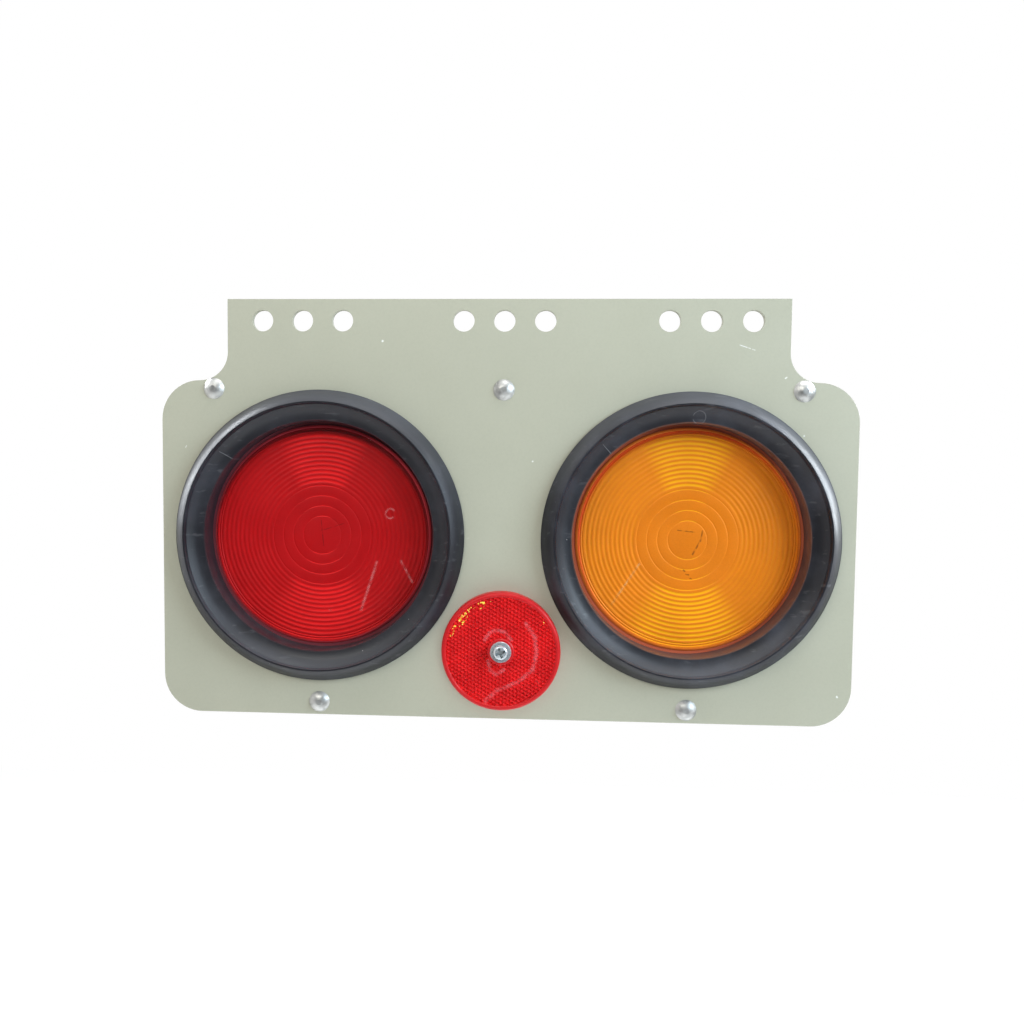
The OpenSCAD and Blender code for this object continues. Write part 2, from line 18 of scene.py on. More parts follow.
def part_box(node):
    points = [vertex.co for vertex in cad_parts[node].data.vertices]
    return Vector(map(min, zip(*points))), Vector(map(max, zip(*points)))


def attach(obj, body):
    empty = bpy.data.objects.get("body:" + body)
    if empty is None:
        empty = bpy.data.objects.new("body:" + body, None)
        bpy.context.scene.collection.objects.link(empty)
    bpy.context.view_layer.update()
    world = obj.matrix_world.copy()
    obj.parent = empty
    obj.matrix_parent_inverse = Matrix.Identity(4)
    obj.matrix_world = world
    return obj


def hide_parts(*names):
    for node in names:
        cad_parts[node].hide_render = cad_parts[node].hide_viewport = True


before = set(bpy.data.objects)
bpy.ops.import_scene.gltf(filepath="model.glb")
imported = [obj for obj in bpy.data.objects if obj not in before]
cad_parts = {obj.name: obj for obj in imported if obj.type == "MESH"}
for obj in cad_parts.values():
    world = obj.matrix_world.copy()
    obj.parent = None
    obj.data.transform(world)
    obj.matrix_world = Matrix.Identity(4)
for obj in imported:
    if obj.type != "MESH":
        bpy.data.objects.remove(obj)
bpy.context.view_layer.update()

LOG = logging.getLogger("light_module")
MM = 0.001
PLATE_FRONT = -3.0
Colour = tuple[float, float, float]
Point = tuple[float, float]
Value = Union[float, Colour, bpy.types.NodeSocket]


class Side(Enum):
    """The two lamps, by the node prefix of each."""

    STOP = "stop"
    TURN = "turn"


def solid(colour: Sequence[float]) -> tuple[float, float, float, float]:
    """Returns a colour with full alpha."""
    return (colour[0], colour[1], colour[2], 1.0)


class Graph:
    """A node material under construction."""

    def __init__(self, name: str) -> None:
        """Starts an empty material.

        Args:
            name: the material's name.
        """
        self.material = bpy.data.materials.new(name)
        self.material.use_nodes = True
        self.tree = self.material.node_tree
        self.tree.nodes.clear()
        self._point: bpy.types.NodeSocket | None = None

    def node(self, kind: str, values: dict | None = None, **settings: object) -> bpy.types.Node:
        """Adds a node.

        Args:
            kind: the node's type, without the leading ShaderNode.
            values: socket name or index to a value, or to the socket that feeds it.
            settings: properties of the node.

        Returns:
            The node.
        """
        made = self.tree.nodes.new("ShaderNode" + kind)
        for key, value in settings.items():
            setattr(made, key, value)
        for key, value in (values or {}).items():
            if isinstance(value, bpy.types.NodeSocket):
                self.tree.links.new(value, made.inputs[key])
            else:
                made.inputs[key].default_value = value
        return made

    def point(self) -> bpy.types.NodeSocket:
        """Returns the place on the piece, in metres."""
        if self._point is None:
            self._point = self.node("TexCoord").outputs["Object"]
        return self._point

    def scaled(self, stretch: Sequence[float]) -> bpy.types.NodeSocket:
        """Returns the place with each axis multiplied by its own factor."""
        return self.node("Mapping", {"Vector": self.point(), "Scale": tuple(stretch)}).outputs[0]

    def noise(self, scale: float, detail: float = 2.0, stretch: Sequence[float] | None = None,
              roughness: float = 0.5) -> bpy.types.NodeSocket:
        """Returns a cloud pattern from 0 to 1.

        Args:
            scale: cycles per metre.
            detail: number of finer layers.
            stretch: factor per axis, for streaks.
            roughness: strength of the finer layers.

        Returns:
            The pattern's socket.
        """
        where = self.scaled(stretch) if stretch else self.point()
        values = {"Vector": where, "Scale": scale, "Detail": detail, "Roughness": roughness}
        return self.node("TexNoise", values).outputs["Fac"]

    def dots(self, scale: float, radius: float) -> bpy.types.NodeSocket:
        """Returns 1 inside sparse dots and 0 elsewhere.

        Args:
            scale: cells per metre.
            radius: dot radius as a share of a cell.

        Returns:
            The mask's socket.
        """
        cells = self.node("TexVoronoi", {"Vector": self.point(), "Scale": scale})
        near = self.band(cells.outputs["Distance"], radius, radius * 0.6)
        seed = self.node("SeparateColor", {0: cells.outputs["Color"]}).outputs[0]
        return self.sum("MULTIPLY", near, self.band(seed, 0.86, 0.9))

    def sum(self, operation: str, first: Value, second: Value = 0.0) -> bpy.types.NodeSocket:
        """Returns the result of one arithmetic step."""
        return self.node("Math", {0: first, 1: second}, operation=operation).outputs[0]

    def band(self, value: Value, start: float, end: float, low: float = 0.0,
             high: float = 1.0) -> bpy.types.NodeSocket:
        """Maps a value from start and end to low and high, with soft ends."""
        values = {"Value": value, "From Min": start, "From Max": end, "To Min": low, "To Max": high}
        return self.node("MapRange", values, interpolation_type="SMOOTHSTEP").outputs[0]

    def blend(self, share: Value, first: Value, second: Value) -> bpy.types.NodeSocket:
        """Returns a mix of two colours, by share from the first to the second."""
        values = {0: share}
        for key, value in ((6, first), (7, second)):
            values[key] = value if isinstance(value, bpy.types.NodeSocket) else solid(value)
        return self.node("Mix", values, data_type="RGBA").outputs[2]

    def bump(self, height: Value, depth: float, under: Value | None = None) -> bpy.types.NodeSocket:
        """Returns a normal for a relief.

        Args:
            height: the relief from 0 to 1.
            depth: its height in millimetres.
            under: a normal that it lies on.

        Returns:
            The normal's socket.
        """
        values = {"Height": height, "Distance": depth * MM, "Strength": 1.0}
        if under is not None:
            values["Normal"] = under
        return self.node("Bump", values).outputs[0]

    def stroke(self, start: Point, end: Point, width: float) -> bpy.types.NodeSocket:
        """Returns a mask along a straight line on the front.

        Args:
            start: X and Z of one end, in millimetres.
            end: X and Z of the other end.
            width: full width of the line.

        Returns:
            The mask's socket, 1 on the line.
        """
        run = Vector(((end[0] - start[0]) * MM, 0.0, (end[1] - start[1]) * MM))
        flat = self.scaled((1.0, 0.0, 1.0))
        offset = self.node("VectorMath", {0: flat, 1: (start[0] * MM, 0.0, start[1] * MM)},
                           operation="SUBTRACT").outputs[0]
        along = self.node("VectorMath", {0: offset, 1: tuple(run / run.length_squared)},
                          operation="DOT_PRODUCT").outputs["Value"]
        share = self.node("Clamp", {"Value": along}).outputs[0]
        foot = self.node("VectorMath", {0: tuple(run), "Scale": share}, operation="SCALE").outputs[0]
        away = self.node("VectorMath", {0: offset, 1: foot}, operation="DISTANCE").outputs["Value"]
        return self.band(away, width * 0.5 * MM, width * 0.05 * MM)

    def offset(self, centre: Point) -> bpy.types.NodeSocket:
        """Returns the way from an axis that runs front to back, through a point in millimetres."""
        return self.node("VectorMath", {0: self.scaled((1.0, 0.0, 1.0)),
                                        1: (centre[0] * MM, 0.0, centre[1] * MM)},
                         operation="SUBTRACT").outputs[0]

    def radius(self, centre: Point) -> bpy.types.NodeSocket:
        """Returns the distance from an axis that runs front to back, in metres."""
        return self.node("VectorMath", {0: self.offset(centre)}, operation="LENGTH").outputs["Value"]

    def arc(self, centre: Point, radius: float, width: float, start: float,
            end: float) -> bpy.types.NodeSocket:
        """Returns a mask along an arc on the front.

        Args:
            centre: X and Z of the arc's centre, in millimetres.
            radius: its radius.
            width: full width of the line.
            start: first angle in degrees, from +X towards +Z.
            end: last angle in degrees.

        Returns:
            The mask's socket, 1 on the arc.
        """
        offset = self.offset(centre)
        far = self.node("VectorMath", {0: offset}, operation="LENGTH").outputs["Value"]
        off = self.sum("ABSOLUTE", self.sum("SUBTRACT", far, radius * MM))
        line = self.band(off, width * 0.5 * MM, width * 0.15 * MM)
        middle, half = math.radians((start + end) / 2), math.radians(abs(end - start) / 2)
        ahead = self.node("VectorMath", {0: offset, 1: (math.cos(middle), 0.0, math.sin(middle))},
                          operation="DOT_PRODUCT").outputs["Value"]
        cosine = self.sum("DIVIDE", ahead, far)
        return self.sum("MULTIPLY", line, self.band(cosine, math.cos(half), math.cos(half * 0.85)))

    def fan(self, centre: Point, middle: float, half: float) -> bpy.types.NodeSocket:
        """Returns a mask that fades from a direction on the front to both sides.

        Args:
            centre: X and Z of the fan's centre, in millimetres.
            middle: its direction in degrees, from +X towards +Z.
            half: degrees from there to its sides.

        Returns:
            The mask's socket, 1 in the middle of the fan.
        """
        offset = self.offset(centre)
        far = self.node("VectorMath", {0: offset}, operation="LENGTH").outputs["Value"]
        turn = math.radians(middle)
        ahead = self.node("VectorMath", {0: offset, 1: (math.cos(turn), 0.0, math.sin(turn))},
                          operation="DOT_PRODUCT").outputs["Value"]
        cosine = self.sum("DIVIDE", ahead, far)
        return self.band(cosine, math.cos(math.radians(half)), math.cos(math.radians(half * 0.35)))

    def either(self, masks: Sequence[bpy.types.NodeSocket]) -> bpy.types.NodeSocket:
        """Returns the largest of several masks."""
        whole = masks[0]
        for mask in masks[1:]:
            whole = self.sum("MAXIMUM", whole, mask)
        return whole

    def surface(self, **sockets: Value) -> bpy.types.NodeSocket:
        """Returns a Principled shader. An underscore stands for a space in a socket's name."""
        values = {}
        for key, value in sockets.items():
            name = key.replace("_", " ").replace("Specular IOR", "Specular IOR Level")
            is_colour = isinstance(value, tuple) and len(value) == 3
            values[name] = solid(value) if is_colour else value
        return self.node("BsdfPrincipled", values).outputs[0]

    def done(self, shader: bpy.types.NodeSocket,
             inside: bpy.types.NodeSocket | None = None) -> bpy.types.Material:
        """Ends the material.

        Args:
            shader: the surface.
            inside: the volume, if it has one.

        Returns:
            The material.
        """
        output = self.node("OutputMaterial", {"Surface": shader})
        if inside is not None:
            self.tree.links.new(inside, output.inputs["Volume"])
        return self.material


@dataclass(frozen=True)
class Paint:
    """Satin paint on steel, with small chips and rubbed marks."""

    name: str
    tone: Colour
    shade: Colour
    chips: tuple[tuple[Point, Point, float], ...] = ()

    def build(self) -> bpy.types.Material:
        """Returns the material."""
        g = Graph(self.name)
        cloud = g.noise(11.0, 3.0)
        grain = g.noise(900.0, 2.0)
        colour = g.blend(g.band(cloud, 0.3, 0.7), self.tone, self.shade)
        colour = g.blend(g.band(grain, 0.35, 0.8, 0.0, 0.12), colour,
                         tuple(c * 0.72 for c in self.tone))
        marks = [g.dots(70.0, 0.05)]
        marks += [g.stroke(start, end, width) for start, end, width in self.chips]
        ragged = g.band(g.noise(1500.0, 2.0), 0.36, 0.5)
        mark = g.sum("MULTIPLY", g.either(marks), ragged)
        colour = g.blend(g.sum("MULTIPLY", mark, 0.75), colour, (0.86, 0.87, 0.86))
        rough = g.band(g.noise(40.0, 4.0), 0.3, 0.7, 0.40, 0.52)
        peel = g.bump(g.noise(1100.0, 1.0), 0.012)
        normal = g.bump(g.sum("SUBTRACT", 1.0, mark), 0.03, peel)
        return g.done(g.surface(Base_Color=colour, Roughness=rough, Normal=normal))


@dataclass(frozen=True)
class Rubber:
    """Moulded black rubber with a pale bloom, dust and painted top light on faces that look up, scuffs,
    and a painted glow of its lens's light.
    """

    name: str
    tone: Colour = (0.010, 0.010, 0.014)
    bloom: Colour = (0.042, 0.045, 0.060)
    share: float = 0.45
    dust_and_top_light: Colour = (0.15, 0.155, 0.17)
    dust_and_top_light_share: float = 0.32
    centre: Point | None = None
    glow: Colour = (0.10, 0.05, 0.04)
    glow_r: tuple[float, float] = (55.5, 54.9)
    ticks: tuple[tuple[Point, Point, float], ...] = ()
    ring: tuple[Point, float, float] | None = None

    def build(self) -> bpy.types.Material:
        """Returns the material."""
        g = Graph(self.name)
        cloud = g.noise(38.0, 5.0, roughness=0.6)
        colour = g.blend(g.band(cloud, 0.38, 0.78, 0.0, self.share), self.tone, self.bloom)
        # Paler on faces that look up: dust that settles there, and painted top light.
        lean = g.node("SeparateXYZ", {0: g.node("TexCoord").outputs["Normal"]}).outputs["Z"]
        dust_and_top_light_mask = g.sum("MULTIPLY", g.band(lean, 0.15, 0.80), self.dust_and_top_light_share)
        colour = g.blend(dust_and_top_light_mask, colour, self.dust_and_top_light)
        scuff = g.band(g.noise(260.0, 4.0, (0.35, 1.0, 1.6)), 0.60, 0.74)
        colour = g.blend(g.sum("MULTIPLY", scuff, 0.22), colour, (0.16, 0.16, 0.17))
        colour = g.blend(g.sum("MULTIPLY", g.dots(230.0, 0.06), 0.6), colour, (0.42, 0.42, 0.42))
        # Painted glow: a warm tint on the rubber close round the lens, where the lens's coloured light
        # falls on the bore.
        if self.centre is not None:
            near = g.band(g.radius(self.centre), self.glow_r[0] * MM, self.glow_r[1] * MM)
            patchy = g.band(g.noise(120.0, 4.0), 0.30, 0.70, 0.55, 1.0)
            colour = g.blend(g.sum("MULTIPLY", near, patchy), colour, self.glow)
        skin = g.bump(g.noise(1600.0, 2.0), 0.018)
        normal = g.bump(g.noise(140.0, 3.0), 0.05, skin)
        if self.ticks:
            marks = [g.stroke(*tick) for tick in self.ticks]
            if self.ring is not None:
                marks.append(g.arc(self.ring[0], self.ring[1], self.ring[2], -179.9, 179.9))
            mark = g.either(marks)
            colour = g.blend(g.sum("MULTIPLY", mark, 0.5), colour, (0.20, 0.20, 0.21))
            normal = g.bump(mark, 0.12, normal)
        rough = g.band(cloud, 0.3, 0.75, 0.38, 0.54)
        return g.done(g.surface(Base_Color=colour, Roughness=rough, Normal=normal, IOR=1.42))


@dataclass(frozen=True)
class ClearPlastic:
    """Clear coloured skin of a lens, with rubbed marks and scratches on it."""

    name: str
    tint: Colour
    strokes: tuple[tuple[Point, Point, float], ...] = ()
    arcs: tuple[tuple[Point, float, float, float, float], ...] = ()
    haze: Colour = (0.80, 0.38, 0.38)
    haze_share: float = 0.24
    smooth: float = 0.015

    def build(self) -> bpy.types.Material:
        """Returns the material."""
        g = Graph(self.name)
        cloud = g.noise(60.0, 4.0)
        rough = g.band(cloud, 0.35, 0.75, self.smooth, self.smooth + 0.03)
        tint = g.blend(cloud, self.tint, tuple(c * 0.94 for c in self.tint))
        clear = g.surface(Base_Color=tint, Roughness=rough, IOR=1.49, Transmission_Weight=1.0)
        marks = [g.stroke(start, end, width) for start, end, width in self.strokes]
        marks += [g.arc(*arc) for arc in self.arcs]
        marks.append(g.sum("MULTIPLY", g.dots(160.0, 0.05), 0.8))
        ragged = g.band(g.noise(330.0, 4.0), 0.30, 0.66, 0.25, 1.0)
        mark = g.sum("MULTIPLY", g.either(marks), g.sum("MULTIPLY", ragged, self.haze_share))
        dull = g.surface(Base_Color=self.haze, Roughness=0.6)
        return g.done(g.node("MixShader", {0: mark, 1: clear, 2: dull}).outputs[0])


@dataclass(frozen=True)
class RingPlastic:
    """Back of a lens seen through its face, its edge and the flange in the gap around it.

    The colour goes by height forward of the plate: edge, land, ring groove, gap. The grooves
    take a painted highlight in a fan above the axis and a wider one below it. The edge is
    painted lighter than the land to make up for the shade it sits in, the flange in the gap is
    painted darker as shade, and a painted shade crescent lies on the side where no light comes
    from behind.
    """

    name: str
    centre: Point
    land: Colour
    groove_highlight: Colour
    edge: Colour
    crescent_shade: Colour
    crescent_shade_shift: Point
    crescent_shade_r: tuple[float, float] = (50.2, 52.2)
    edge_levels: tuple[float, float] = (-7.25, -7.05)
    ring_levels: tuple[float, float] = (-7.42, -7.58)
    gap_levels: tuple[float, float] = (-8.0, -8.7)
    gap_shade: Colour = (0.09, 0.012, 0.016)
    dark: Colour = (0.05, 0.01, 0.01)
    strokes: tuple[tuple[Point, Point, float], ...] = ()
    highlight_fans: tuple[float, float] = (32.0, 42.0)
    faint: float = 0.12
    metallic: float = 0.14
    smooth: float = 0.34

    def build(self) -> bpy.types.Material:
        """Returns the material."""
        g = Graph(self.name)
        depth = g.node("SeparateXYZ", {0: g.point()}).outputs["Y"]
        ring, edge, sunk = (g.band(depth, *((PLATE_FRONT - level) * MM for level in levels))
                           for levels in (self.ring_levels, self.edge_levels, self.gap_levels))
        # Painted highlight: the grooves take a brighter colour in a fan above the axis and a wider one
        # below it, and a faint share of it all round.
        fan = g.either([g.fan(self.centre, 90.0, self.highlight_fans[0]), g.fan(self.centre, -90.0, self.highlight_fans[1])])
        share = g.sum("MULTIPLY", ring, g.sum("MAXIMUM", fan, self.faint))
        colour = g.blend(share, self.land, self.groove_highlight)
        cloud = g.band(g.noise(42.0, 3.0), 0.35, 0.70, 0.0, 0.22)
        colour = g.blend(cloud, colour, tuple(c * 0.7 for c in self.land))
        grain = g.band(g.noise(900.0, 2.0), 0.35, 0.75, 0.0, 0.15)
        colour = g.blend(grain, colour, tuple(min(1.0, c * 1.25) for c in self.land))
        if self.strokes:
            ragged = g.band(g.noise(420.0, 4.0), 0.36, 0.56)
            mark = g.sum("MULTIPLY", g.either([g.stroke(*line) for line in self.strokes]), ragged)
            colour = g.blend(g.sum("MULTIPLY", mark, 0.75), colour, self.dark)
        # Painted shade: a darker crescent on the side where no light comes from behind.
        middle = (self.centre[0] + self.crescent_shade_shift[0], self.centre[1] + self.crescent_shade_shift[1])
        crescent_shade = g.band(g.radius(middle), *(r * MM for r in self.crescent_shade_r))
        colour = g.blend(crescent_shade, colour, self.crescent_shade)
        # The edge is painted lighter than the land, to make up for the shade it sits in: painted light
        # over the lens's own edge colour.
        colour = g.blend(edge, colour, self.edge)
        # Painted shade: the flange deep in the gap around the lens gets a darker, duller colour than the
        # land.
        colour = g.blend(sunk, colour, self.gap_shade)
        rough = g.band(g.noise(90.0, 3.0), 0.3, 0.7, self.smooth, self.smooth + 0.08)
        return g.done(g.surface(Base_Color=colour, Roughness=rough, Metallic=self.metallic))


@dataclass(frozen=True)
class PrismPlastic:
    """Red plastic of the reflex reflector: facets with painted shade in their pits and a few painted
    glints by the rim.
    """

    name: str
    centre: Point
    tone: Colour = (0.72, 0.018, 0.020)
    shade: Colour = (0.60, 0.013, 0.016)
    pit_shade: Colour = (0.54, 0.010, 0.012)
    levels: tuple[float, float] = (4.3, 3.6)
    painted_glint: Colour = (1.0, 1.0, 0.16)
    painted_glint_arcs: tuple[tuple[float, float, float, float], ...] = (
        (24.4, 1.6, 100.0, 166.0), (22.3, 1.2, 106.0, 158.0), (23.9, 1.6, 24.0, 36.0))
    rough: tuple[float, float] = (0.24, 0.38)
    ior: float = 1.45

    def build(self) -> bpy.types.Material:
        """Returns the material."""
        g = Graph(self.name)
        colour = g.blend(g.band(g.noise(110.0, 4.0), 0.35, 0.7), self.tone, self.shade)
        # Painted shade: the deepest parts of the cube corners are darker.
        depth = g.node("SeparateXYZ", {0: g.point()}).outputs["Y"]
        high, low = ((PLATE_FRONT - level) * MM for level in self.levels)
        colour = g.blend(g.band(depth, high, low), colour, self.pit_shade)
        # Painted glints: pale yellow dots along arcs near the rim, standing for sparks of reflected light.
        arcs = [g.arc(self.centre, *arc) for arc in self.painted_glint_arcs]
        cells = g.node("TexVoronoi", {"Vector": g.point(), "Scale": 480.0})
        spots = g.band(cells.outputs["Distance"], 0.44, 0.34)
        if arcs:
            painted_glint = g.band(g.sum("MULTIPLY", g.either(arcs), spots), 0.10, 0.30)
            colour = g.blend(painted_glint, colour, self.painted_glint)
        rough = g.band(g.noise(300.0, 2.0), 0.3, 0.7, *self.rough)
        return g.done(g.surface(Base_Color=colour, Roughness=rough, IOR=self.ior))


@dataclass(frozen=True)
class Metal:
    """Bare or plated metal with fine brushing and dull patches."""

    name: str
    tone: Colour
    dull: Colour
    smooth: float
    rough: float
    relief: float = 0.004
    metallic: float = 1.0

    def build(self) -> bpy.types.Material:
        """Returns the material."""
        g = Graph(self.name)
        patch = g.band(g.noise(220.0, 4.0), 0.42, 0.72)
        colour = g.blend(patch, self.tone, self.dull)
        rough = g.band(g.noise(420.0, 3.0), 0.3, 0.75, self.smooth, self.rough)
        lines = g.noise(900.0, 3.0, (0.4, 1.0, 2.2))
        return g.done(g.surface(Base_Color=colour, Metallic=self.metallic, Roughness=rough,
                                Normal=g.bump(lines, self.relief)))


@dataclass(frozen=True)
class Moulded:
    """Opaque plastic, resin or laminate with a fine grain."""

    name: str
    tone: Colour
    shade: Colour
    rough: float = 0.5
    grain: float = 0.02
    coat: float = 0.0

    def build(self) -> bpy.types.Material:
        """Returns the material."""
        g = Graph(self.name)
        colour = g.blend(g.band(g.noise(70.0, 4.0), 0.35, 0.7), self.tone, self.shade)
        rough = g.band(g.noise(150.0, 3.0), 0.3, 0.7, self.rough - 0.06, self.rough + 0.08)
        normal = g.bump(g.noise(1300.0, 2.0), self.grain)
        return g.done(g.surface(Base_Color=colour, Roughness=rough, Normal=normal,
                                Coat_Weight=self.coat))


@dataclass(frozen=True)
class Laminate:
    """Circuit board: green lacquer over copper tracks."""

    name: str
    lacquer: Colour = (0.015, 0.10, 0.035)
    track: Colour = (0.035, 0.17, 0.06)

    def build(self) -> bpy.types.Material:
        """Returns the material."""
        g = Graph(self.name)
        cells = g.node("TexVoronoi", {"Vector": g.scaled((1.0, 0.0, 1.0)), "Scale": 170.0},
                       feature="DISTANCE_TO_EDGE")
        track = g.band(cells.outputs["Distance"], 0.05, 0.08)
        colour = g.blend(track, self.lacquer, self.track)
        rough = g.band(g.noise(200.0, 2.0), 0.3, 0.7, 0.22, 0.34)
        return g.done(g.surface(Base_Color=colour, Roughness=rough, Normal=g.bump(track, 0.03)))


def bowl_metal() -> Metal:
    """Returns the finish of the metallised bowls."""
    return Metal("bowl_metal", (0.93, 0.93, 0.94), (0.86, 0.86, 0.88), 0.20, 0.32, 0.002)


def new_piece(name: str, bm: bmesh.types.BMesh, materials: Sequence[bpy.types.Material],
              replaces: Sequence[str] = (), smooth_angle: float = 30.0) -> bpy.types.Object:
    """Turns a finished bmesh into a piece of the module.

    Args:
        name: the piece's name.
        bm: its mesh in the frame's axes, which is freed.
        materials: its materials, in the order of the faces' indices.
        replaces: the frame's nodes that it stands for.
        smooth_angle: edges sharper than this many degrees stay crisp.

    Returns:
        The object.
    """
    mesh = bpy.data.meshes.new(name)
    bm.to_mesh(mesh)
    bm.free()
    mesh.shade_smooth()
    mesh.set_sharp_from_angle(angle=math.radians(smooth_angle))
    for material in materials:
        mesh.materials.append(material)
    piece = bpy.data.objects.new(name, mesh)
    bpy.context.scene.collection.objects.link(piece)
    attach(piece, "root")
    if replaces:
        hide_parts(*replaces)
    LOG.info("%s: %d faces", name, len(mesh.polygons))
    return piece


def dress(node: str, material: bpy.types.Material) -> None:
    """Gives a node of the frame its material.

    Args:
        node: the node's name.
        material: the material for all of it.
    """
    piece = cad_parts[node]
    piece.data.materials.clear()
    piece.data.materials.append(material)
    LOG.info("%s: dressed as %s", node, material.name)


def chain(points: Sequence[Point], width: float) -> tuple[tuple[Point, Point, float], ...]:
    """Returns the strokes of one rubbed line through several points, all of one width."""
    return tuple((start, end, width) for start, end in zip(points, points[1:]))


@dataclass
class Turning:
    """A round piece: a profile spun about an axis that runs from front to back."""

    centre: Point
    profile: Sequence[Point]
    rounding: dict[int, float] = field(default_factory=dict)
    closed: bool = True
    steps: int = 192

    def add_to(self, bm: bmesh.types.BMesh) -> None:
        """Adds the spun shape.

        Args:
            bm: the mesh that takes it. Profile points are radius and height forward of the
                plate, in millimetres.
        """
        own = bmesh.new()
        cx, cz = self.centre
        points = [own.verts.new(((cx + r) * MM, (PLATE_FRONT - h) * MM, cz * MM))
                  for r, h in self.profile]
        pairs = list(zip(points, points[1:])) + ([(points[-1], points[0])] if self.closed else [])
        for first, second in pairs:
            own.edges.new((first, second))
        for index, radius in self.rounding.items():
            bmesh.ops.bevel(own, geom=[points[index]], offset=radius * MM, offset_type="OFFSET",
                            segments=4, profile=0.5, affect="VERTICES", material=-1)
        bmesh.ops.spin(own, geom=own.verts[:] + own.edges[:], cent=(cx * MM, 0.0, cz * MM),
                       axis=(0.0, 1.0, 0.0), angle=math.tau, steps=self.steps,
                       use_merge=True, use_duplicate=False)
        bmesh.ops.remove_doubles(own, verts=own.verts[:], dist=1e-6)
        bmesh.ops.recalc_face_normals(own, faces=own.faces[:])
        scratch = bpy.data.meshes.new("turning")
        own.to_mesh(scratch)
        own.free()
        bm.from_mesh(scratch)
        bpy.data.meshes.remove(scratch)


@dataclass
class MountingPlate:
    """The hanging plate, with the punched edges of its outline and holes broken."""

    edge: float = 0.4
    finish: Paint = Paint("plate_paint", (0.430, 0.430, 0.336), (0.412, 0.413, 0.323),
                          (((108.1, -10.9), (115.0, -13.2), 0.6), ((129.1, -26.0), (129.7, -25.6), 1.0),
                           ((138.0, -52.5), (138.6, -52.1), 1.0), ((-152.0, -60.0), (-151.6, -59.2), 0.6)))

    def build(self) -> None:
        """Builds the plate from the frame's node and breaks its edges."""
        bm = bmesh.new()
        bm.from_mesh(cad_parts["mounting_plate"].data)
        bmesh.ops.remove_doubles(bm, verts=bm.verts[:], dist=1e-6)
        bmesh.ops.dissolve_limit(bm, angle_limit=math.radians(0.3), verts=bm.verts[:],
                                 edges=bm.edges[:])
        sharp = [e for e in bm.edges if e.calc_face_angle(0.0) > math.radians(50.0)]
        bmesh.ops.bevel(bm, geom=sharp, offset=self.edge * MM, offset_type="OFFSET", segments=3,
                        profile=0.5, affect="EDGES", material=-1, clamp_overlap=True)
        new_piece("painted_plate", bm, [self.finish.build()], ["mounting_plate"], 12.0)


@dataclass
class LampGrommet:
    """Rubber grommet: wide brim, ridge, hollow funnel and the grooves behind."""

    side: Side
    centre: Point
    finish: Rubber
    brim_r: float = 69.3
    ridge_r: float = 63.3
    bore_r: float = 54.7
    neck_r: float = 57.05
    bead_r: float = 60.45
    groove_r: float = 55.9
    rear_bore_r: float = 50.4
    ridge_h: float = 8.5

    def build(self) -> None:
        """Builds the grommet."""
        r, h = self.ridge_r, self.ridge_h
        profile = [
            (self.bore_r, 2.3), (self.bore_r + 0.2, 2.8), (self.bore_r + 1.0, 3.0),
            (r - 5.6, 3.5), (r - 3.6, 4.6), (r - 1.9, 6.0), (r - 1.1, 6.7), (r - 0.95, 7.6),
            (r - 0.5, h - 0.1), (r + 0.2, h), (r + 1.2, h - 0.7), (r + 2.6, h - 2.2),
            (r + 4.2, h - 4.4), (self.brim_r - 0.5, 1.7), (self.brim_r, 1.1), (self.brim_r, 0.0),
            (self.neck_r, 0.0), (self.neck_r, -3.0), (self.bead_r - 0.6, -3.0),
            (self.bead_r, -3.6), (self.bead_r, -7.0), (self.groove_r + 2.4, -12.7),
            (self.groove_r + 1.4, -18.1), (self.rear_bore_r + 1.0, -18.1),
            (self.rear_bore_r, -17.1), (self.rear_bore_r, -12.8), (self.groove_r, -12.8),
            (self.groove_r, -8.8), (self.bore_r, -8.8)]
        bm = bmesh.new()
        Turning(self.centre, profile).add_to(bm)
        new_piece(self.side.value + "_rubber_grommet", bm, [self.finish.build()],
                  [self.side.value + "_grommet"])


